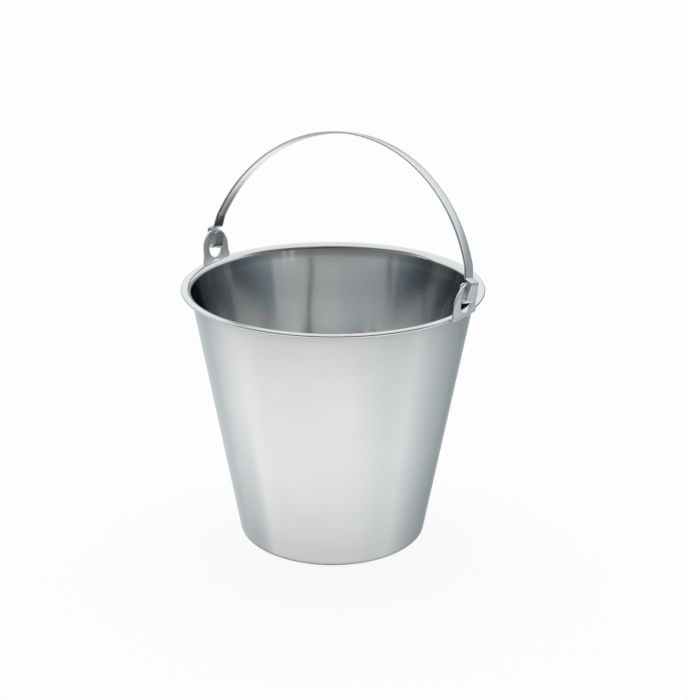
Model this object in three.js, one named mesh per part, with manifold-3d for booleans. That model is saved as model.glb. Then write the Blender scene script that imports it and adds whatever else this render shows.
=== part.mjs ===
// Milk pail: a seamless drawn body with a hemmed rim, two eye plates welded to
// the rim, and a flat strip bail that hooks through the eyes.
//
// Frame, in millimetres: the origin is at the middle of the base, +Z is up, and
// the bail's pivot line runs along X from one eye plate to the other.
import * as THREE from 'three'
import { mergeVertices } from 'three/addons/utils/BufferGeometryUtils.js'
import Module from 'manifold-3d'

const wasm = await Module()
wasm.setup()

const { asin, cos, sin, tan, PI } = Math
const degrees = THREE.MathUtils.degToRad

// Driving dimensions.
const HEIGHT = 270            // base to the top of the rim
const RIM_RADIUS = 154        // outside of the rim
const SHEET = 1               // wall thickness of the drawn body
const WALL_TAPER = degrees(9.95)
const RIM_CORNER = 6          // bend from wall to rim, measured on the inside
const HEM_HEIGHT = 3          // height of the rim's folded edge
const HEM_RETURN = 3          // how far the folded edge runs back under the rim
const RIM_FLAT = 3.3          // flat width on top of the rim
const BASE_CORNER = 4         // bend from wall to base, measured on the outside
const FOOT_WIDTH = 11         // ring that the pail stands on
const PANEL_RISE = 2          // how far the middle of the base is pressed up
const PANEL_SLOPE = 4         // width of the step from the ring to that panel
const GAP = 0.3               // between pieces that touch

const EAR_SHEET = 2.3
const EAR_RADIUS = 19.4       // round top of an eye plate
const EAR_LEAN = degrees(4.4) // outward lean of an eye plate above the rim
const EYE_HALF_WIDTH = 10
const EYE_BOTTOM = 1.5        // lowest point of the eye above the rim
const EYE_TOP_ROUND = 7       // corner radius at the top of the eye
const EAR_BAR = 8             // metal above the eye
const PIVOT_RISE = 12.2       // pivot line above the rim, the centre of the ear's round top

const STRIP_WIDTH = 15
const STRIP = 2               // thickness of the bail strip
const BAIL_LEAN = degrees(13) // how far the bail leans back where it rests
const ARCH_HALF_SPAN = 164.4
const ARCH_RISE = 167
const ARCH_DROP = 26.4        // centre of the bail's arch below the pivot line
const LEG_TOP = 34            // where the arch ends, above the pivot line
const LEG_SPREAD = 2.2        // how far the leg below it spreads towards the hook
const KINK_ROUND = 2.2        // bend radii at the kink and at the shoulder below
const SHOULDER_ROUND = 2.4

// The hook, measured outward from the rim and up from the pivot line.
const KINK_HEIGHT = 22.2      // where the leg kinks outward, above the eye plate
const SHOULDER_OUT = 8.7
const SHOULDER_HEIGHT = 19.3
const HOOK_OUT = 6.1          // outer leg at the bend through the eye
const HOOK_IN = -1.6          // inner leg, inside the eye plate
const BEND_HEIGHT = 3.5       // centre of that bend
const TIP_HEIGHT = 17.7       // end of the inner leg

const TURN_STEPS = 72         // facets round the body
const CUTTER_DEPTH = 40       // of the solids that cut an eye plate's outline
const SPARE = 5               // how far the uncut eye plate runs past its outline

// ---------------------------------------------------------------- outlines

// Points on an arc about a centre, from one angle to another, ends included.
function arc(cx, cy, radius, from, to, steps) {
  const points = []
  for (let i = 0; i <= steps; i += 1) {
    const angle = from + (to - from) * i / steps
    points.push([cx + radius * cos(angle), cy + radius * sin(angle)])
  }
  return points
}

// A polyline whose corners are rounded, each corner being [x, y, radius].
function rounded(corners, steps) {
  const points = []
  corners.forEach(([x, y, radius = 0], i) => {
    if (i === 0 || i === corners.length - 1 || radius === 0) {
      points.push([x, y])
      return
    }
    const here = new THREE.Vector2(x, y)
    const back = new THREE.Vector2(corners[i - 1][0], corners[i - 1][1]).sub(here).normalize()
    const ahead = new THREE.Vector2(corners[i + 1][0], corners[i + 1][1]).sub(here).normalize()
    const half = back.angleTo(ahead) / 2
    const middle = back.clone().add(ahead).normalize().multiplyScalar(radius / sin(half)).add(here)
    const start = back.multiplyScalar(radius / tan(half)).add(here).sub(middle)
    const end = ahead.multiplyScalar(radius / tan(half)).add(here).sub(middle)
    let sweep = end.angle() - start.angle()
    if (sweep > PI) sweep -= 2 * PI
    if (sweep < -PI) sweep += 2 * PI
    points.push(...arc(middle.x, middle.y, radius, start.angle(), start.angle() + sweep, steps))
  })
  return points
}

// ------------------------------------------------------------- solid tools

function toSolid(geometry) {
  geometry.deleteAttribute('normal')
  geometry.deleteAttribute('uv')
  const merged = mergeVertices(geometry, 1e-4)
  return new wasm.Manifold(new wasm.Mesh({
    numProp: 3,
    vertProperties: new Float32Array(merged.attributes.position.array),
    triVerts: new Uint32Array(merged.index.array),
  }))
}

function toGeometry(solid) {
  const mesh = solid.getMesh()
  const geometry = new THREE.BufferGeometry()
  geometry.setAttribute('position', new THREE.BufferAttribute(new Float32Array(mesh.vertProperties), 3))
  geometry.setIndex(new THREE.BufferAttribute(new Uint32Array(mesh.triVerts), 1))
  return geometry
}

// A ring or bowl about Z from [radius, height] pairs.
function turned(profile) {
  const lathe = new THREE.LatheGeometry(profile.map(([r, z]) => new THREE.Vector2(r, z)), TURN_STEPS)
  return lathe.rotateX(PI / 2)
}

function steel(name, geometry, colour, roughness) {
  const material = new THREE.MeshStandardMaterial({ color: colour, roughness, metalness: 1 })
  const mesh = new THREE.Mesh(geometry, material)
  mesh.name = name
  return mesh
}

// -------------------------------------------------------------- pail body

// The sheet is drawn in section once: up the outside from the middle of the
// base, round the hemmed rim, and back down the inside.
function bodySection() {
  const flatStart = RIM_RADIUS - HEM_HEIGHT / 2 - RIM_FLAT
  const bendZ = HEIGHT - RIM_CORNER
  const bendX = flatStart - RIM_CORNER * cos(WALL_TAPER)
  const bendTop = bendZ + RIM_CORNER * sin(WALL_TAPER)
  const outerOffset = SHEET / cos(WALL_TAPER)
  const innerWall = (z) => bendX - (bendTop - z) * tan(WALL_TAPER)
  const outerWall = (z) => innerWall(z) + outerOffset

  // The base corner's centre lies one corner radius above the floor and inside the wall.
  const cornerX = outerWall(BASE_CORNER) - BASE_CORNER / cos(WALL_TAPER)
  const footInner = cornerX - FOOT_WIDTH
  const panel = footInner - PANEL_SLOPE
  const hemX = RIM_RADIUS - HEM_HEIGHT / 2
  const hemZ = HEIGHT - HEM_HEIGHT / 2
  const hemEnd = hemX - HEM_RETURN

  return [
    [0, PANEL_RISE],
    [panel, PANEL_RISE],
    [footInner, 0],
    ...arc(cornerX, BASE_CORNER, BASE_CORNER, -PI / 2, -WALL_TAPER, 5),
    ...arc(flatStart, bendZ, RIM_CORNER - SHEET, PI - WALL_TAPER, PI / 2, 4),
    ...arc(hemX, hemZ, HEM_HEIGHT / 2 - SHEET, PI / 2, -PI / 2, 3),
    [hemEnd, HEIGHT - HEM_HEIGHT + SHEET],
    [hemEnd, HEIGHT - HEM_HEIGHT],
    ...arc(hemX, hemZ, HEM_HEIGHT / 2, -PI / 2, PI / 2, 6),
    ...arc(flatStart, bendZ, RIM_CORNER, PI / 2, PI - WALL_TAPER, 5),
    ...arc(cornerX, BASE_CORNER, BASE_CORNER - SHEET, -WALL_TAPER, -PI / 2, 4),
    [footInner, SHEET],
    [panel, PANEL_RISE + SHEET],
    [0, PANEL_RISE + SHEET],
  ]
}

const pailBody = steel('pail_body', turned(bodySection()), 0xc9cccd, 0.32)

// -------------------------------------------------------------- eye plates

// Outline of an eye plate seen from outside, as [across, height above the rim].
function earOutline() {
  const side = (sign) => [
    [sign * 22.4, -HEM_HEIGHT],
    [sign * 21.6, -1],
    [sign * 20.4, 2.2],
    [sign * 19.6, 6],
  ]
  return [
    ...side(1),
    ...arc(0, PIVOT_RISE, EAR_RADIUS, 0, PI, 24),
    ...side(-1).reverse(),
  ]
}

// The eye: a round bottom, straight sides and a flatter round top.
function eyeOutline() {
  const low = EYE_BOTTOM + EYE_HALF_WIDTH
  const high = PIVOT_RISE + EAR_RADIUS - EAR_BAR
  return [
    ...arc(0, low, EYE_HALF_WIDTH, PI, 2 * PI, 14),
    ...rounded([
      [EYE_HALF_WIDTH, low],
      [EYE_HALF_WIDTH, high, EYE_TOP_ROUND],
      [-EYE_HALF_WIDTH, high, EYE_TOP_ROUND],
      [-EYE_HALF_WIDTH, low],
    ], 5).slice(1, -1),
  ]
}

// A prism through the rim at +X with the given outline across Y and Z.
function prism(outline) {
  const shape = new THREE.Shape(outline.map(([y, z]) => new THREE.Vector2(y, z)))
  const geometry = new THREE.ExtrudeGeometry(shape, { depth: CUTTER_DEPTH, bevelEnabled: false })
  // The shape's own axes x, y, z become Y, Z and X.
  const turn = new THREE.Matrix4().makeBasis(
    new THREE.Vector3(0, 1, 0), new THREE.Vector3(0, 0, 1), new THREE.Vector3(1, 0, 0))
  geometry.applyMatrix4(turn)
  geometry.translate(RIM_RADIUS - CUTTER_DEPTH / 2, 0, HEIGHT)
  return toSolid(geometry)
}

// The plate follows the rim's curve, upright against the hem and leaning
// outward above it, so it is cut from a thin ring of that section.
function earGeometry() {
  const inner = RIM_RADIUS + GAP
  const reach = PIVOT_RISE + EAR_RADIUS + SPARE
  const lean = reach * tan(EAR_LEAN)
  const bottom = HEIGHT - HEM_HEIGHT - SPARE
  const ring = toSolid(turned([
    [inner, bottom],
    [inner + EAR_SHEET, bottom],
    [inner + EAR_SHEET, HEIGHT],
    [inner + EAR_SHEET + lean, HEIGHT + reach],
    [inner + lean, HEIGHT + reach],
    [inner, HEIGHT],
    [inner, bottom],
  ]))
  return toGeometry(ring.intersect(prism(earOutline())).subtract(prism(eyeOutline())))
}

const rightEar = steel('ear_right', earGeometry(), 0xbfc3c4, 0.36)
const leftEar = steel('ear_left', earGeometry().rotateZ(PI), 0xbfc3c4, 0.36)

// -------------------------------------------------------------------- bail

// Centre line of the strip in the bail's own plane, as [across, distance from
// the pivot line]: the hook at one end, the arch, and the other end's hook.
function bailCentreLine() {
  const archAngle = asin((LEG_TOP + ARCH_DROP) / ARCH_RISE)
  const archEnd = ARCH_HALF_SPAN * cos(archAngle)
  const bendRadius = (HOOK_OUT - HOOK_IN) / 2
  const bendCentre = RIM_RADIUS + (HOOK_OUT + HOOK_IN) / 2
  const leg = rounded([
    [archEnd, LEG_TOP],
    [archEnd + LEG_SPREAD, KINK_HEIGHT, KINK_ROUND],
    [RIM_RADIUS + SHOULDER_OUT, SHOULDER_HEIGHT, SHOULDER_ROUND],
    [RIM_RADIUS + HOOK_OUT, BEND_HEIGHT],
  ], 5).slice(1, -1)
  const bend = arc(bendCentre, BEND_HEIGHT, bendRadius, 0, -PI, 10)
  const end = [...leg, ...bend, [RIM_RADIUS + HOOK_IN, TIP_HEIGHT]]
  const arch = []
  const steps = 56
  for (let i = 0; i <= steps; i += 1) {
    const angle = archAngle + (PI - 2 * archAngle) * i / steps
    arch.push([ARCH_HALF_SPAN * cos(angle), ARCH_RISE * sin(angle) - ARCH_DROP])
  }
  const mirrored = end.map(([x, y]) => [-x, y])
  return [...end.reverse(), ...arch, ...mirrored]
}

// The strip's edge-on outline: the centre line moved half a thickness each way.
function stripOutline(line) {
  const left = []
  const right = []
  line.forEach(([x, y], i) => {
    const [px, py] = line[Math.max(i - 1, 0)]
    const [nx, ny] = line[Math.min(i + 1, line.length - 1)]
    const before = new THREE.Vector2(x - px, y - py).normalize()
    const after = new THREE.Vector2(nx - x, ny - y).normalize()
    const along = before.clone().add(after).normalize()
    const reach = STRIP / 2 / (i === 0 || i === line.length - 1 ? 1 : along.dot(after))
    left.push(new THREE.Vector2(x - along.y * reach, y + along.x * reach))
    right.push(new THREE.Vector2(x + along.y * reach, y - along.x * reach))
  })
  return new THREE.Shape([...left, ...right.reverse()])
}

function bailGeometry() {
  const shape = stripOutline(bailCentreLine())
  const geometry = new THREE.ExtrudeGeometry(shape, { depth: STRIP_WIDTH, bevelEnabled: false })
  geometry.translate(0, 0, -STRIP_WIDTH / 2)
  return geometry
}

const bailHandle = steel('bail_handle', bailGeometry(), 0xb4b9ba, 0.3)
bailHandle.rotation.x = PI / 2 - BAIL_LEAN
bailHandle.position.z = HEIGHT + PIVOT_RISE

const group = new THREE.Group()
group.add(pailBody, rightEar, leftEar, bailHandle)

export default group
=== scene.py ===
import math

import bmesh
import bpy
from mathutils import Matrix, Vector


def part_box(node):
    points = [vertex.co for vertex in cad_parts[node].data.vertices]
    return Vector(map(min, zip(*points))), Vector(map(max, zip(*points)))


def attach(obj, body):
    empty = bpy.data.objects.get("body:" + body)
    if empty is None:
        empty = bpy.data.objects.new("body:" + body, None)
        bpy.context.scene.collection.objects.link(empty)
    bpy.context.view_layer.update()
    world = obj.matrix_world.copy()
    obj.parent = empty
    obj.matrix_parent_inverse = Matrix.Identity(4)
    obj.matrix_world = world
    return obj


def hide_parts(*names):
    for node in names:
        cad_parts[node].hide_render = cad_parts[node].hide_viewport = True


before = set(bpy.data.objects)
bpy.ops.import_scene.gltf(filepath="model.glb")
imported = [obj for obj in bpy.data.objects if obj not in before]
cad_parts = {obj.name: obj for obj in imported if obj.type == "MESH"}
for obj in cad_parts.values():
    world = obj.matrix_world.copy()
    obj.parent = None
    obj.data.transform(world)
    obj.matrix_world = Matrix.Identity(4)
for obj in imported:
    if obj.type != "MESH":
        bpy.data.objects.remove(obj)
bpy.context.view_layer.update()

MM = 0.001

# The CAD model's driving dimensions, in millimetres, here and in the next two
# groups. This group is the body's; PANEL is what is pressed up inside the foot.
HEIGHT = 270.0
RIM_RADIUS = 154.0
SHEET = 1.0
WALL_TAPER = math.radians(9.95)
RIM_CORNER = 6.0
HEM_HEIGHT = 3.0
HEM_RETURN = 3.0
RIM_FLAT = 3.3
BASE_CORNER = 4.0
FOOT_WIDTH = 11.0
PANEL_RISE = 2.0
PANEL_SLOPE = 4.0
PANEL_ROUND = 2.2
GAP = 0.3

# The eye plates. Heights are above the rim.
EAR_SHEET = 2.3
EAR_RADIUS = 19.4
EAR_LEAN = math.radians(4.4)
EYE_HALF_WIDTH = 10.0
EYE_BOTTOM = 1.5
EYE_TOP_ROUND = 7.0
EAR_BAR = 8.0
PIVOT_RISE = 12.2
# The side of an eye plate, from its foot up to its round top.
EAR_SIDE = ((22.4, -HEM_HEIGHT), (21.6, -1.0), (20.4, 2.2), (19.6, 6.0))

# The bail. Heights are above the pivot line, and what ends in OUT or IN is
# counted outward from the rim's radius.
STRIP_WIDTH = 15.0
STRIP = 2.0
BAIL_LEAN = math.radians(13)
ARCH_HALF_SPAN = 164.4
ARCH_RISE = 167.0
ARCH_DROP = 26.4
LEG_TOP = 34.0
LEG_SPREAD = 2.2
KINK_ROUND = 2.2
SHOULDER_ROUND = 2.4
KINK_HEIGHT = 22.2
SHOULDER_OUT = 8.7
SHOULDER_HEIGHT = 19.3
HOOK_OUT = 6.1
HOOK_IN = -1.6
BEND_HEIGHT = 3.5
TIP_HEIGHT = 17.7

# Details that only the visual model has. The edges of the plates and of the
# strip are rounded over, and so are the strip's ends. A plate's lean eases in up to
# EAR_BEND above the rim. From DETAIL_START strip widths along the strip on, its
# middle is dished outward and its left half is twisted, fully from TWIST_REACH out.
EAR_EDGE = 0.75
EAR_BEND = 4.0
STRIP_EDGE = 0.9
TIP_ROUND = 4.5
DETAIL_START = 3
DISH = 0.3
TWIST = math.radians(4)
TWIST_REACH = 100

# Fineness of the visual meshes, the point that a plate's sections are laid round,
# and how sharp an edge has to be to stay sharp in the shading.
TURN_STEPS = 288
WALL_STEP = 9.0
HELD_REACH = 0.5
EAR_STEPS = 168
ARCH_STEPS = 220
STRIP_STEP = 1.0
EDGE_STEPS = 4
PLATE_FLAT_STEPS = 8
STRIP_FLAT_STEPS = 6
PANEL_STEPS = 6
CORNER_STEPS = 12
RIM_BEND_STEPS = 14
HEM_STEPS = 20
HEM_INSIDE_STEPS = 8
EAR_TOP_STEPS = 60
EYE_TOP_STEPS = 14
EYE_BOTTOM_STEPS = 28
LEG_BEND_STEPS = 10
HOOK_STEPS = 24
EYE_CENTRE = (0.0, 10.0)
MERGE_DISTANCE = 1e-7
SHARP_BODY = math.radians(38)
SHARP_STRIP = math.radians(50)


def clamped(value):
    return min(1.0, max(0.0, value))


# ------------------------------------------------------------------ outlines

def arc(cx, cy, radius, start, end, steps):
    """Points on an arc from one angle to another, ends included."""
    points = []
    for i in range(steps + 1):
        angle = start + (end - start) * i / steps
        points.append((cx + radius * math.cos(angle), cy + radius * math.sin(angle)))
    return points


def rounded(corners, steps):
    """A polyline whose inner corners, given as (x, y, radius), are rounded."""
    points = [corners[0][:2]]
    for before, here, after in zip(corners, corners[1:], corners[2:]):
        x, y, radius = here
        centre = Vector((x, y))
        back = (Vector(before[:2]) - centre).normalized()
        ahead = (Vector(after[:2]) - centre).normalized()
        half = back.angle(ahead) / 2
        middle = centre + (back + ahead).normalized() * radius / math.sin(half)
        start = centre + back * radius / math.tan(half) - middle
        end = centre + ahead * radius / math.tan(half) - middle
        first = math.atan2(start.y, start.x)
        sweep = math.atan2(end.y, end.x) - first
        sweep = (sweep + math.pi) % (2 * math.pi) - math.pi
        points += arc(middle.x, middle.y, radius, first, first + sweep, steps)
    points.append(corners[-1][:2])
    return points


def spaced(points, step):
    """The polyline with points added so that none is further than step from the next."""
    out = [points[0]]
    for (ax, ay), (bx, by) in zip(points, points[1:]):
        count = max(1, math.ceil(math.hypot(bx - ax, by - ay) / step))
        for i in range(1, count + 1):
            t = i / count
            out.append((ax + (bx - ax) * t, ay + (by - ay) * t))
    return out


# -------------------------------------------------------------- mesh helpers

def new_object(name, vertices, faces, sharp_angle):
    mesh = bpy.data.meshes.new(name)
    mesh.from_pydata([Vector(v) * MM for v in vertices], [], faces)
    made = bmesh.new()
    made.from_mesh(mesh)
    bmesh.ops.remove_doubles(made, verts=made.verts, dist=MERGE_DISTANCE)
    bmesh.ops.recalc_face_normals(made, faces=made.faces)
    made.to_mesh(mesh)
    made.free()
    mesh.shade_smooth()
    mesh.set_sharp_from_angle(angle=sharp_angle)
    obj = bpy.data.objects.new(name, mesh)
    bpy.context.scene.collection.objects.link(obj)
    return obj


def lofted(rings, close_rings=True, caps=False):
    """Faces between successive rings of the same number of vertices."""
    count = len(rings[0])
    vertices = [v for ring in rings for v in ring]
    faces = []
    last = len(rings) if close_rings else len(rings) - 1
    for i in range(last):
        here = i * count
        there = (i + 1) % len(rings) * count
        for k in range(count):
            n = (k + 1) % count
            faces.append((here + k, here + n, there + n, there + k))
    if caps:
        faces.append(tuple(range(count)))
        faces.append(tuple(range(len(vertices) - count, len(vertices))))
    return vertices, faces


# ----------------------------------------------------------------- pail body

def body_section():
    """The sheet's section as (radius, height): out along the underside, up the
    outside, round the hemmed rim and back down the inside."""
    flat_start = RIM_RADIUS - HEM_HEIGHT / 2 - RIM_FLAT
    bend_z = HEIGHT - RIM_CORNER
    bend_x = flat_start - RIM_CORNER * math.cos(WALL_TAPER)
    bend_top = bend_z + RIM_CORNER * math.sin(WALL_TAPER)
    slope = math.tan(WALL_TAPER)

    def outer_wall(z):
        return bend_x - (bend_top - z) * slope + SHEET / math.cos(WALL_TAPER)

    corner_x = outer_wall(BASE_CORNER) - BASE_CORNER / math.cos(WALL_TAPER)
    foot_inner = corner_x - FOOT_WIDTH
    panel = foot_inner - PANEL_SLOPE
    hem_x = RIM_RADIUS - HEM_HEIGHT / 2
    hem_z = HEIGHT - HEM_HEIGHT / 2
    hem_end = hem_x - HEM_RETURN
    lip = HEIGHT - HEM_HEIGHT + SHEET / 2
    quarter = math.pi / 2
    under = rounded([
        (0, PANEL_RISE),
        (panel, PANEL_RISE, PANEL_ROUND),
        (foot_inner, 0, PANEL_ROUND),
        (corner_x, 0),
    ], PANEL_STEPS)
    over = rounded([
        (corner_x, SHEET),
        (foot_inner, SHEET, PANEL_ROUND),
        (panel, PANEL_RISE + SHEET, PANEL_ROUND),
        (0, PANEL_RISE + SHEET),
    ], PANEL_STEPS)
    return (
        under[:-1]
        + arc(corner_x, BASE_CORNER, BASE_CORNER, -quarter, -WALL_TAPER, CORNER_STEPS)
        + arc(flat_start, bend_z, RIM_CORNER - SHEET, math.pi - WALL_TAPER, quarter, CORNER_STEPS)
        + arc(hem_x, hem_z, HEM_HEIGHT / 2 - SHEET, quarter, -quarter, HEM_INSIDE_STEPS)
        + arc(hem_end, lip, SHEET / 2, quarter, 3 * quarter, HEM_INSIDE_STEPS)
        + arc(hem_x, hem_z, HEM_HEIGHT / 2, -quarter, quarter, HEM_STEPS)
        + arc(flat_start, bend_z, RIM_CORNER, quarter, math.pi - WALL_TAPER, RIM_BEND_STEPS)
        + arc(corner_x, BASE_CORNER, BASE_CORNER - SHEET, -WALL_TAPER, -quarter, CORNER_STEPS)
        + over[1:]
    )


def held(points, reach):
    """Adds a point close to both ends of every long straight, so that the smooth
    shading of a bend doesn't spread along it."""
    out = [points[0]]
    for (ax, ay), (bx, by) in zip(points, points[1:]):
        length = math.hypot(bx - ax, by - ay)
        if length > 4 * reach:
            share = reach / length
            out.append((ax + (bx - ax) * share, ay + (by - ay) * share))
            out.append((bx - (bx - ax) * share, by - (by - ay) * share))
        out.append((bx, by))
    return out


def make_body():
    """The section turned round Z, with a fan of faces at the middle of each side."""
    section = spaced(held(body_section(), HELD_REACH), WALL_STEP)
    axis_bottom, axis_top = section[0], section[-1]
    rings = section[1:-1]
    vertices = []
    for r, z in rings:
        for i in range(TURN_STEPS):
            angle = 2 * math.pi * i / TURN_STEPS
            vertices.append((r * math.cos(angle), r * math.sin(angle), z))
    faces = []
    for j in range(len(rings) - 1):
        for i in range(TURN_STEPS):
            n = (i + 1) % TURN_STEPS
            a = j * TURN_STEPS
            b = a + TURN_STEPS
            faces.append((a + i, a + n, b + n, b + i))
    bottom = len(vertices)
    vertices.append((0, 0, axis_bottom[1]))
    vertices.append((0, 0, axis_top[1]))
    last = (len(rings) - 1) * TURN_STEPS
    for i in range(TURN_STEPS):
        n = (i + 1) % TURN_STEPS
        faces.append((bottom, n, i))
        faces.append((bottom + 1, last + i, last + n))
    return new_object("body_shell", vertices, faces, SHARP_BODY)


# ---------------------------------------------------------------- eye plates

def ear_outline():
    """A plate's outline laid flat, as (across, above the rim)."""
    loop = list(EAR_SIDE) + arc(0, PIVOT_RISE, EAR_RADIUS, 0, math.pi, EAR_TOP_STEPS)
    loop += [(-x, y) for x, y in reversed(EAR_SIDE)]
    return loop


def eye_outline():
    """The eye's outline laid flat: round below and nearly flat on top."""
    low = EYE_BOTTOM + EYE_HALF_WIDTH
    high = PIVOT_RISE + EAR_RADIUS - EAR_BAR
    top = rounded([
        (EYE_HALF_WIDTH, low),
        (EYE_HALF_WIDTH, high, EYE_TOP_ROUND),
        (-EYE_HALF_WIDTH, high, EYE_TOP_ROUND),
        (-EYE_HALF_WIDTH, low),
    ], EYE_TOP_STEPS)
    return top + arc(0, low, EYE_HALF_WIDTH, math.pi, 2 * math.pi, EYE_BOTTOM_STEPS)[1:-1]


def crossing(loop, centre, angle):
    """Where the ray from centre at that angle leaves the closed outline."""
    dx, dy = math.cos(angle), math.sin(angle)
    best = None
    for (ax, ay), (bx, by) in zip(loop, loop[1:] + loop[:1]):
        ex, ey = bx - ax, by - ay
        cross = dx * ey - dy * ex
        if abs(cross) < 1e-12:
            continue
        px, py = ax - centre[0], ay - centre[1]
        along = (px * ey - py * ex) / cross
        share = (px * dy - py * dx) / cross
        if along > 0 and -1e-9 <= share <= 1 + 1e-9 and (best is None or along > best):
            best = along
    return centre[0] + dx * best, centre[1] + dy * best


def make_ear(name, side):
    """A plate that follows the rim's curve and leans outward above it, with its
    edges rounded over. It is swept round the eye as a closed section."""
    outline, eye = ear_outline(), eye_outline()
    angles = [2 * math.pi * i / EAR_STEPS - math.pi for i in range(EAR_STEPS)]
    for x, y in (outline[0], outline[-1]):
        corner = math.atan2(y - EYE_CENTRE[1], x - EYE_CENTRE[0])
        nearest = min(range(EAR_STEPS), key=lambda i: abs(angles[i] - corner))
        angles[nearest] = corner
    edge = EAR_EDGE

    def place(across, rise, depth):
        over = max(rise, 0.0)
        if over <= EAR_BEND:
            over = over * over / (2 * EAR_BEND) + over / 2
        radius = RIM_RADIUS + GAP + depth + math.tan(EAR_LEAN) * over
        return side * math.sqrt(radius ** 2 - across ** 2), side * across, HEIGHT + rise

    rings = []
    for angle in angles:
        ix, iy = crossing(eye, EYE_CENTRE, angle)
        ox, oy = crossing(outline, EYE_CENTRE, angle)
        length = math.hypot(ox - ix, oy - iy)
        ux, uy = (ox - ix) / length, (oy - iy) / length
        section = []
        for i in range(PLATE_FLAT_STEPS + 1):
            section.append((edge + (length - 2 * edge) * i / PLATE_FLAT_STEPS, EAR_SHEET))
        section += arc(length - edge, EAR_SHEET - edge, edge, math.pi / 2, 0, EDGE_STEPS)[1:]
        section += arc(length - edge, edge, edge, 0, -math.pi / 2, EDGE_STEPS)
        for i in range(1, PLATE_FLAT_STEPS + 1):
            section.append((length - edge - (length - 2 * edge) * i / PLATE_FLAT_STEPS, 0.0))
        section += arc(edge, edge, edge, -math.pi / 2, -math.pi, EDGE_STEPS)[1:]
        section += arc(edge, EAR_SHEET - edge, edge, math.pi, math.pi / 2, EDGE_STEPS)[:-1]
        rings.append([place(ix + ux * t, iy + uy * t, depth) for t, depth in section])
    vertices, faces = lofted(rings)
    return new_object(name, vertices, faces, SHARP_STRIP)


# ---------------------------------------------------------------------- bail

def bail_centre_line():
    """The strip's centre line in the bail's own plane, as (across, distance from
    the pivot line), from one tip to the other."""
    arch_angle = math.asin((LEG_TOP + ARCH_DROP) / ARCH_RISE)
    arch_end = ARCH_HALF_SPAN * math.cos(arch_angle)
    bend_radius = (HOOK_OUT - HOOK_IN) / 2
    bend_centre = RIM_RADIUS + (HOOK_OUT + HOOK_IN) / 2
    arch = []
    for i in range(ARCH_STEPS + 1):
        angle = arch_angle + (math.pi - 2 * arch_angle) * i / ARCH_STEPS
        arch.append((ARCH_HALF_SPAN * math.cos(angle), ARCH_RISE * math.sin(angle) - ARCH_DROP))
    leg = rounded([
        (arch_end, LEG_TOP),
        (arch_end + LEG_SPREAD, KINK_HEIGHT, KINK_ROUND),
        (RIM_RADIUS + SHOULDER_OUT, SHOULDER_HEIGHT, SHOULDER_ROUND),
        (RIM_RADIUS + HOOK_OUT, BEND_HEIGHT),
    ], LEG_BEND_STEPS)[1:-1]
    bend = arc(bend_centre, BEND_HEIGHT, bend_radius, 0, -math.pi, HOOK_STEPS)
    end = leg + bend + [(RIM_RADIUS + HOOK_IN, TIP_HEIGHT)]
    end.reverse()
    mirrored = [(-x, y) for x, y in reversed(end)]
    return spaced(end + arch + mirrored, STRIP_STEP)


def make_bail():
    """The strip laid along its centre line, section by section."""
    line = bail_centre_line()
    travelled = [0.0]
    for (ax, ay), (bx, by) in zip(line, line[1:]):
        travelled.append(travelled[-1] + math.hypot(bx - ax, by - ay))
    total = travelled[-1]
    edge = STRIP_EDGE
    sin_lean, cos_lean = math.sin(BAIL_LEAN), math.cos(BAIL_LEAN)
    pivot = HEIGHT + PIVOT_RISE

    def section(half_width):
        half = STRIP / 2
        inner = half_width - edge
        steps = range(1, STRIP_FLAT_STEPS)
        flat = [(half, -inner + 2 * inner * i / STRIP_FLAT_STEPS) for i in steps]
        loop = arc(half - edge, inner, edge, 0, math.pi / 2, EDGE_STEPS)
        loop += arc(edge - half, inner, edge, math.pi / 2, math.pi, EDGE_STEPS)
        loop += [(-x, -y) for x, y in flat]
        loop += arc(edge - half, -inner, edge, math.pi, 3 * math.pi / 2, EDGE_STEPS)
        loop += arc(half - edge, -inner, edge, -math.pi / 2, 0, EDGE_STEPS)
        return loop + flat

    rings = []
    for i, (x, w) in enumerate(line):
        ax, ay = line[max(i - 1, 0)]
        bx, by = line[min(i + 1, len(line) - 1)]
        length = math.hypot(bx - ax, by - ay)
        nx, ny = (by - ay) / length, -(bx - ax) / length
        left = min(travelled[i], total - travelled[i])
        half_width = STRIP_WIDTH / 2
        if left < TIP_ROUND:
            half_width -= TIP_ROUND - math.sqrt(TIP_ROUND ** 2 - (TIP_ROUND - left) ** 2)
        above_hook = clamped(left / STRIP_WIDTH - DETAIL_START)
        dish = DISH * above_hook
        twist = TWIST * above_hook * clamped(-x / TWIST_REACH)
        ring = []
        for out, across in section(half_width):
            out += dish * (1 - (2 * across / STRIP_WIDTH) ** 2)
            out, across = out + across * twist, across - out * twist
            px, pw = x + nx * out, w + ny * out
            ring.append((
                px,
                pw * sin_lean + across * cos_lean,
                pivot + pw * cos_lean - across * sin_lean,
            ))
        rings.append(ring)
    vertices, faces = lofted(rings, close_rings=False, caps=True)
    return new_object("bail_strip", vertices, faces, SHARP_STRIP)


# ----------------------------------------------------------------- materials

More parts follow.
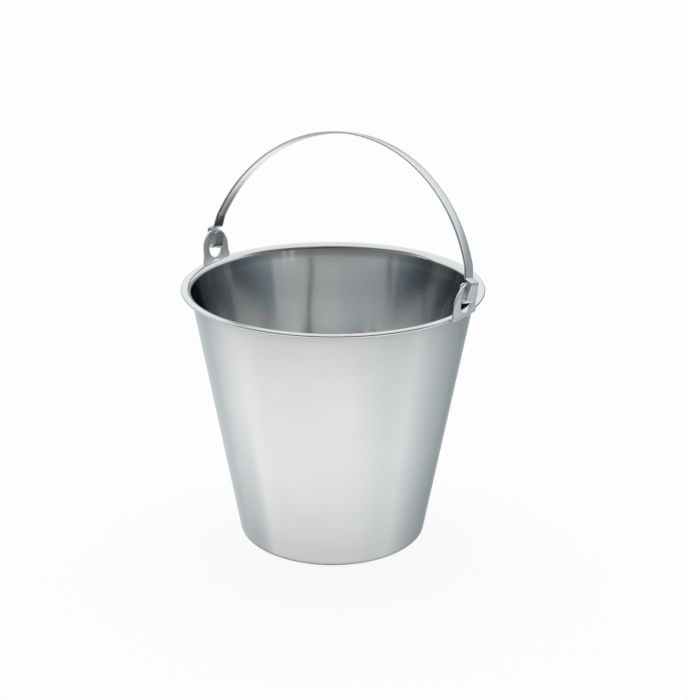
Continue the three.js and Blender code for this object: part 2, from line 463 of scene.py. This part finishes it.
class Nodes:
    """Short calls for building a node tree."""

    def __init__(self, tree):
        self.tree = tree
        tree.nodes.clear()

    def add(self, kind, settings=None, **inputs):
        node = self.tree.nodes.new(kind)
        for key, value in (settings or {}).items():
            setattr(node, key, value)
        for key, value in inputs.items():
            self.set(node, key.replace("_", " "), value)
        return node

    def set(self, node, key, value):
        if isinstance(key, str) and key.isdigit():
            key = int(key)
        socket = node.inputs[key]
        if isinstance(value, bpy.types.NodeSocket):
            self.tree.links.new(value, socket)
        else:
            socket.default_value = value

    def math(self, operation, a, b=0.0, c=0.0):
        node = self.tree.nodes.new("ShaderNodeMath")
        node.operation = operation
        for i, value in enumerate((a, b, c)):
            self.set(node, str(i), value)
        return node.outputs[0]

    def smooth(self, value, low, high, out_low=0.0, out_high=1.0):
        node = self.tree.nodes.new("ShaderNodeMapRange")
        node.interpolation_type = "SMOOTHSTEP"
        for i, v in enumerate((value, low, high, out_low, out_high)):
            self.set(node, str(i), v)
        return node.outputs[0]

    def vector(self, x, y, z):
        return self.add("ShaderNodeCombineXYZ", X=x, Y=y, Z=z).outputs[0]

    def noise(self, vector, scale, detail, roughness, layer=None):
        dimensions = "3D" if layer is None else "4D"
        node = self.add("ShaderNodeTexNoise", {"noise_dimensions": dimensions})
        self.set(node, "Vector", vector)
        self.set(node, "Scale", scale)
        self.set(node, "Detail", detail)
        self.set(node, "Roughness", roughness)
        if layer is not None:
            self.set(node, "W", layer)
        return node.outputs["Fac"]

    def ramp(self, value, stops):
        """Colours by value; each stop is (position, colour)."""
        node = self.tree.nodes.new("ShaderNodeValToRGB")
        self.set(node, "Fac", value)
        elements = node.color_ramp.elements
        while len(elements) < len(stops):
            elements.new(1.0)
        for element, (position, colour) in zip(elements, stops):
            element.position = position
            element.color = colour
        return node.outputs[0]

    def dot(self, a, b):
        node = self.add("ShaderNodeVectorMath", {"operation": "DOT_PRODUCT"})
        self.set(node, "0", a)
        self.set(node, "1", b)
        return node.outputs["Value"]

    def mix(self, factor, a, b, blend="MIX"):
        node = self.add("ShaderNodeMix", {"data_type": "RGBA", "blend_type": blend})
        self.set(node, "0", factor)
        self.set(node, "6", a)
        self.set(node, "7", b)
        return node.outputs[2]


def grey(value, tint=(1.0, 1.0, 1.0)):
    return (value * tint[0], value * tint[1], value * tint[2], 1.0)


COOL = (0.993, 1.0, 1.0)

# Brush lines to the metre across the grain, and the grain's slow change along it.
# STREAK_PART is the lines' part in the shade; the rest is soft blotches.
FINE_GRAIN = 2400.0
BROAD_GRAIN = 420.0
GRAIN_ALONG_TURN = 1.6
GRAIN_ALONG_STRIP = 14.0
GRAIN_ON_LEVEL = 0.7
GRAIN_DETAIL = 3.0
GRAIN_ROUGHNESS = 0.65
NEAR_AXIS = 0.002
BLOTCHES = 24.0
BLOTCH_DETAIL = 3.0
BLOTCH_ROUGHNESS = 0.55
STREAK_PART = 0.6
STREAK_RANGE = (0.25, 0.75)
SHADE_RANGE = (0.3, 0.7)
UNEVEN_FINISH = 0.04

# Where the sheet's inner side gives way to its outer one, as the cosine between
# the surface's normal and the way out from the axis.
SIDE_RANGE = (-0.1, 0.1)

# Painted light and shade on the sheet's two sides, by share of the height: painted shade
# darkens it towards the base, with a painted dark line at the foot, and under the rim; the inside
# also has painted bright bands.
OUTER_PAINTED_LIGHT = (
    (0.0, 0.10), (0.005, 0.18), (0.012, 0.6), (0.02, 0.76), (0.075, 0.78), (0.11, 0.82),
    (0.17, 0.87), (0.36, 0.98), (0.45, 1.0), (0.66, 0.98), (0.74, 0.95), (0.82, 0.91),
    (0.90, 0.85), (0.942, 0.80), (0.965, 0.73), (0.98, 0.66), (0.988, 1.02), (1.0, 1.02),
)
INNER_PAINTED_LIGHT = (
    (0.0, 0.72), (0.11, 0.80), (0.36, 0.98), (0.5, 1.08), (0.64, 1.14), (0.70, 1.0),
    (0.76, 0.93), (0.82, 0.86), (0.90, 0.88), (0.93, 0.98), (0.947, 1.12), (0.962, 0.90),
    (0.975, 0.86), (0.988, 1.02), (1.0, 1.02),
)


def brush_noise(n, along_a, across, along_b, fine, layer):
    """Long thin grain: fine cells across the lines, long ones along them."""
    where = n.vector(along_a, n.math("MULTIPLY", across, fine), along_b)
    return n.noise(where, 1.0, GRAIN_DETAIL, GRAIN_ROUGHNESS, layer)


def steel(name, light, dark, rough, spread, anisotropy, layout):
    """Satin steel between two shades, with brush lines. Their layout is round Z on
    the turned body, along the strip on the bail, and level on the plates."""
    material = bpy.data.materials.new(name)
    material.use_nodes = True
    n = Nodes(material.node_tree)
    coordinates = n.add("ShaderNodeTexCoord").outputs
    place = coordinates["Object"]
    x, y, z = n.add("ShaderNodeSeparateXYZ", Vector=place).outputs
    if layout == "turned":
        radius = n.math("SQRT", n.math("MULTIPLY_ADD", x, x, n.math("MULTIPLY", y, y)))
        safe = n.math("MAXIMUM", radius, NEAR_AXIS)
        out_x, out_y = n.math("DIVIDE", x, safe), n.math("DIVIDE", y, safe)
        along_a = n.math("MULTIPLY", out_x, GRAIN_ALONG_TURN)
        along_b = n.math("MULTIPLY", out_y, GRAIN_ALONG_TURN)
        across = n.math("ADD", z, n.math("MULTIPLY", radius, GRAIN_ON_LEVEL))
        tangent = n.add("ShaderNodeTangent", {"direction_type": "RADIAL", "axis": "Z"})
        turn = 0.25
    else:
        lean = BAIL_LEAN if layout == "strip" else math.pi / 2
        lowered = n.math("MULTIPLY", z, math.sin(lean))
        across = n.math("SUBTRACT", n.math("MULTIPLY", y, math.cos(lean)), lowered)
        rise = n.math("MULTIPLY_ADD", y, math.sin(lean), n.math("MULTIPLY", z, math.cos(lean)))
        along_a = n.math("MULTIPLY", x, GRAIN_ALONG_STRIP)
        along_b = n.math("MULTIPLY", rise, GRAIN_ALONG_STRIP)
        side = n.vector(0.0, math.cos(lean), -math.sin(lean))
        to_world = {"vector_type": "VECTOR", "convert_from": "OBJECT", "convert_to": "WORLD"}
        tangent = n.add("ShaderNodeVectorTransform", to_world, Vector=side)
        turn = 0.0
    fine = brush_noise(n, along_a, across, along_b, FINE_GRAIN, 1.0)
    broad = brush_noise(n, along_a, across, along_b, BROAD_GRAIN, 2.0)
    blotch = n.noise(place, BLOTCHES, BLOTCH_DETAIL, BLOTCH_ROUGHNESS)
    streak = n.math("ADD", n.math("MULTIPLY", fine, 0.5), n.math("MULTIPLY", broad, 0.5))
    blotched = n.math("MULTIPLY", blotch, 1 - STREAK_PART)
    tone = n.math("MULTIPLY_ADD", streak, STREAK_PART, blotched)
    colour = n.mix(n.smooth(tone, *SHADE_RANGE), grey(dark, COOL), grey(light, COOL))
    # The turned body's colour is multiplied by painted light and shade by height, one table for
    # each side of the sheet.
    if layout == "turned":
        share = n.math("DIVIDE", z, HEIGHT * MM)
        outer, inner = (
            n.ramp(share, [(at, grey(value)) for at, value in table])
            for table in (OUTER_PAINTED_LIGHT, INNER_PAINTED_LIGHT)
        )
        facing = n.dot(coordinates["Normal"], n.vector(out_x, out_y, 0.0))
        curve = n.mix(n.smooth(facing, *SIDE_RANGE), inner, outer)
        colour = n.mix(1.0, colour, curve, "MULTIPLY")
    uneven = n.math("MULTIPLY", n.math("SUBTRACT", blotch, 0.5), UNEVEN_FINISH)
    brushed = n.smooth(streak, *STREAK_RANGE, rough - spread, rough + spread)
    roughness = n.math("ADD", brushed, uneven)
    shader = n.add("ShaderNodeBsdfPrincipled")
    n.set(shader, "Base Color", colour)
    n.set(shader, "Metallic", 1.0)
    n.set(shader, "Roughness", roughness)
    n.set(shader, "Anisotropic", anisotropy)
    n.set(shader, "Anisotropic Rotation", turn)
    n.set(shader, "Tangent", tangent.outputs[0])
    output = n.add("ShaderNodeOutputMaterial")
    n.set(output, "Surface", shader.outputs[0])
    return material


# -------------------------------------------------------------------- pieces

body = make_body()
right_ear = make_ear("eye_plate_right", 1)
left_ear = make_ear("eye_plate_left", -1)
bail = make_bail()

body_steel = steel("body_steel", 0.66, 0.62, 0.12, 0.012, 0.7, "turned")
ear_steel = steel("ear_steel", 0.88, 0.80, 0.45, 0.03, 0.2, "plate")
bail_steel = steel("bail_steel", 0.76, 0.70, 0.22, 0.02, 0.3, "strip")

for piece, body_name, node, slot, material in (
    (body, "pail", "pail_body", "body_steel", body_steel),
    (right_ear, "pail", "ear_right", "ear_steel", ear_steel),
    (left_ear, "pail", "ear_left", "ear_steel", ear_steel),
    (bail, "bail", "bail_handle", "bail_steel", bail_steel),
):
    piece.data.materials.append(material)
    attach(piece, body_name)
    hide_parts(node)

# -------------------------------------------------------------------- camera

# Angles are in radians, distances in metres, and the lens and sensor in millimetres.
# The rim's centre lies AIM_RIGHT and AIM_UP away from the camera's axis.
VIEW_AZIMUTH = math.radians(35.85)
VIEW_PITCH = math.radians(20.59)
VIEW_ROLL = -0.0026
VIEW_DISTANCE = 1.463
AIM_RIGHT = 0.0008
AIM_UP = 0.0674
LENS = 74.09
SENSOR = 36.0
SHIFT_X = 0.0171
SHIFT_Y = 0.0007

right = Vector((math.cos(VIEW_AZIMUTH), math.sin(VIEW_AZIMUTH), 0.0))
ahead = Vector((-math.sin(VIEW_AZIMUTH), math.cos(VIEW_AZIMUTH), 0.0))
forward = ahead * math.cos(VIEW_PITCH) - Vector((0, 0, math.sin(VIEW_PITCH)))
up = right.cross(forward)

camera = bpy.data.objects.new("camera", bpy.data.cameras.new("camera"))
bpy.context.scene.collection.objects.link(camera)
rim_centre = Vector((0, 0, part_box("pail_body")[1].z))
camera.location = rim_centre - right * AIM_RIGHT - up * AIM_UP - forward * VIEW_DISTANCE
spin = math.cos(VIEW_ROLL), math.sin(VIEW_ROLL)
cam_right = right * spin[0] - up * spin[1]
cam_up = right * spin[1] + up * spin[0]
basis = camera.matrix_world.to_3x3()
basis.col[0] = cam_right
basis.col[1] = cam_up
basis.col[2] = -forward
camera.rotation_euler = basis.to_euler()
camera.data.lens = LENS
camera.data.sensor_width = SENSOR
camera.data.shift_x = SHIFT_X
camera.data.shift_y = SHIFT_Y
bpy.context.scene.camera = camera

# --------------------------------------------------------------------- stage

# The floor glows as brightly as the background, less what the light on it adds.
FLOOR_SIZE = 40.0
FLOOR_GLOW = 0.905
FLOOR_SHADE = 0.10
BACKGROUND = 0.97


def make_floor():
    mesh = bpy.data.meshes.new("floor")
    half = FLOOR_SIZE / 2
    corners = [(-half, -half, 0), (half, -half, 0), (half, half, 0), (-half, half, 0)]
    mesh.from_pydata(corners, [], [(0, 1, 2, 3)])
    floor = bpy.data.objects.new("floor", mesh)
    bpy.context.scene.collection.objects.link(floor)
    material = bpy.data.materials.new("pale_floor")
    material.use_nodes = True
    n = Nodes(material.node_tree)
    matt = n.add("ShaderNodeBsdfDiffuse", Color=grey(FLOOR_SHADE))
    glow = n.add("ShaderNodeEmission", Color=grey(1.0), Strength=FLOOR_GLOW)
    both = n.add("ShaderNodeAddShader")
    n.set(both, "0", matt.outputs[0])
    n.set(both, "1", glow.outputs[0])
    output = n.add("ShaderNodeOutputMaterial")
    n.set(output, "Surface", both.outputs[0])
    mesh.materials.append(material)
    floor.visible_glossy = False


# What the steel sees of the studio, as brightness by compass direction from the
# camera's heading, to the right: on the floor near the pail and further off, level
# with the pail, and above it.
NEAR_SIDES = (
    (-180, 1.16), (-120, 1.16), (-95, 1.08), (-75, 0.86), (-60, 0.68), (-35, 0.86), (-12, 1.16),
    (180, 1.16),
)
FLOOR_SIDES = (
    (-180, 1.22), (-112, 1.20), (-86, 1.27), (-73, 1.15), (-60, 0.98), (-44, 0.78), (-15, 0.72),
    (5, 0.50), (31, 0.42), (66, 0.70), (88, 0.93), (100, 1.08), (116, 1.06), (126, 1.05),
    (165, 1.21), (180, 1.22),
)
LEVEL_SIDES = (
    (-180, 0.15), (-120, 0.35), (-84, 0.60), (-44, 0.72), (-12, 0.72),
    (10, 0.45), (40, 0.38), (75, 0.42), (110, 0.42), (150, 0.25), (180, 0.15),
)
UPPER_SIDES = (
    (-180, 0.08), (-165, 0.18), (-150, 0.27), (-131, 0.41), (-105, 0.58), (-102, 1.00),
    (-76, 1.08), (0, 1.12), (16, 1.04), (40, 0.97), (60, 0.93), (91, 0.84), (107, 0.68),
    (111, 0.43), (124, 0.32), (143, 0.17), (163, 0.06), (180, 0.05),
)
BRIGHTEST = 1.3

# The dimmer a part is below UNTINTED, the more it takes its tint.
SHADE_TINT = (0.87, 1.01, 1.07)
UPPER_TINT = (0.76, 1.0, 1.12)
UNTINTED = 1.25

# Where one part gives way to the next, in degrees above the horizon.
UNDERFOOT_ENDS = (-84, -72)
NEAR_FLOOR_ENDS = (-50, -42)
FLOOR_ENDS = (-30, -16)
HORIZON = (-1, 3)
LEVEL_ENDS = (8, 15)
UPPER_ENDS = (25, 32)
OVERHEAD_ENDS = (52, 62)

# The near floor reaches higher round two directions: each is the direction, the
# cosines off it where the shift starts and is full, and the shift in degrees.
NEAR_FLOOR_SHIFTS = ((12, 0.80, 0.97, 11), (-62, 0.80, 0.96, 9))

# Plain parts: straight below, above, and what lies behind the camera. Behind ends
# between two cosines off the heading.
UNDERFOOT = 0.6
OVERHEAD = 1.10
BEHIND_LEVEL = 0.2
BEHIND_LEVEL_ENDS = (-0.2, 0.1)
BEHIND_OVERHEAD = 0.16
BEHIND_OVERHEAD_ENDS = (-0.15, 0.15)


def make_world():
    world = bpy.data.worlds.new("studio")
    bpy.context.scene.world = world
    world.use_nodes = True
    n = Nodes(world.node_tree)
    look = n.add("ShaderNodeTexCoord").outputs["Generated"]

    far_share = n.dot(look, ahead)
    turn = n.math("ARCTAN2", n.dot(look, right), far_share)
    share = n.math("MULTIPLY_ADD", turn, 0.5 / math.pi, 0.5)
    rise = n.math("ARCSINE", n.dot(look, Vector((0, 0, 1))))

    def light(value, tint=(1.0, 1.0, 1.0)):
        return grey(value / BRIGHTEST, tint)

    def sides(table, shade=SHADE_TINT):
        stops = []
        for angle, value in table:
            dim = clamped(UNTINTED - value)
            tint = [1 + (t - 1) * dim for t in shade]
            stops.append((angle / 360 + 0.5, light(value, tint)))
        return n.ramp(share, stops)

    def above(ends, height=rise):
        return n.smooth(height, math.radians(ends[0]), math.radians(ends[1]))

    lifted = rise
    for direction, start, full, shift in NEAR_FLOOR_SHIFTS:
        off = n.math("COSINE", n.math("SUBTRACT", turn, math.radians(direction)))
        lift = n.smooth(off, start, full, 0.0, math.radians(shift))
        lifted = n.math("SUBTRACT", lifted, lift)

    in_front = n.smooth(far_share, *BEHIND_OVERHEAD_ENDS)
    overhead = n.mix(in_front, light(BEHIND_OVERHEAD), light(OVERHEAD))
    seen = n.mix(above(UNDERFOOT_ENDS), light(UNDERFOOT), sides(NEAR_SIDES))
    seen = n.mix(above(NEAR_FLOOR_ENDS, lifted), seen, sides(FLOOR_SIDES))
    seen = n.mix(above(FLOOR_ENDS), seen, sides(LEVEL_SIDES))
    over_horizon = n.mix(n.smooth(far_share, *BEHIND_LEVEL_ENDS), light(BEHIND_LEVEL), seen)
    seen = n.mix(above(HORIZON), seen, over_horizon)
    seen = n.mix(above(LEVEL_ENDS), seen, sides(UPPER_SIDES, UPPER_TINT))
    seen = n.mix(above(UPPER_ENDS), seen, overhead)
    seen = n.mix(above(OVERHEAD_ENDS), seen, light(OVERHEAD))
    scaled = n.add("ShaderNodeVectorMath", {"operation": "SCALE"}, Vector=seen, Scale=BRIGHTEST)
    is_camera = n.add("ShaderNodeLightPath").outputs["Is Camera Ray"]
    colour = n.mix(is_camera, scaled.outputs[0], grey(BACKGROUND))
    back = n.add("ShaderNodeBackground", Color=colour, Strength=1.0)
    output = n.add("ShaderNodeOutputWorld")
    n.set(output, "Surface", back.outputs[0])


make_floor()
make_world()

bpy.context.scene.view_settings.view_transform = "Standard"
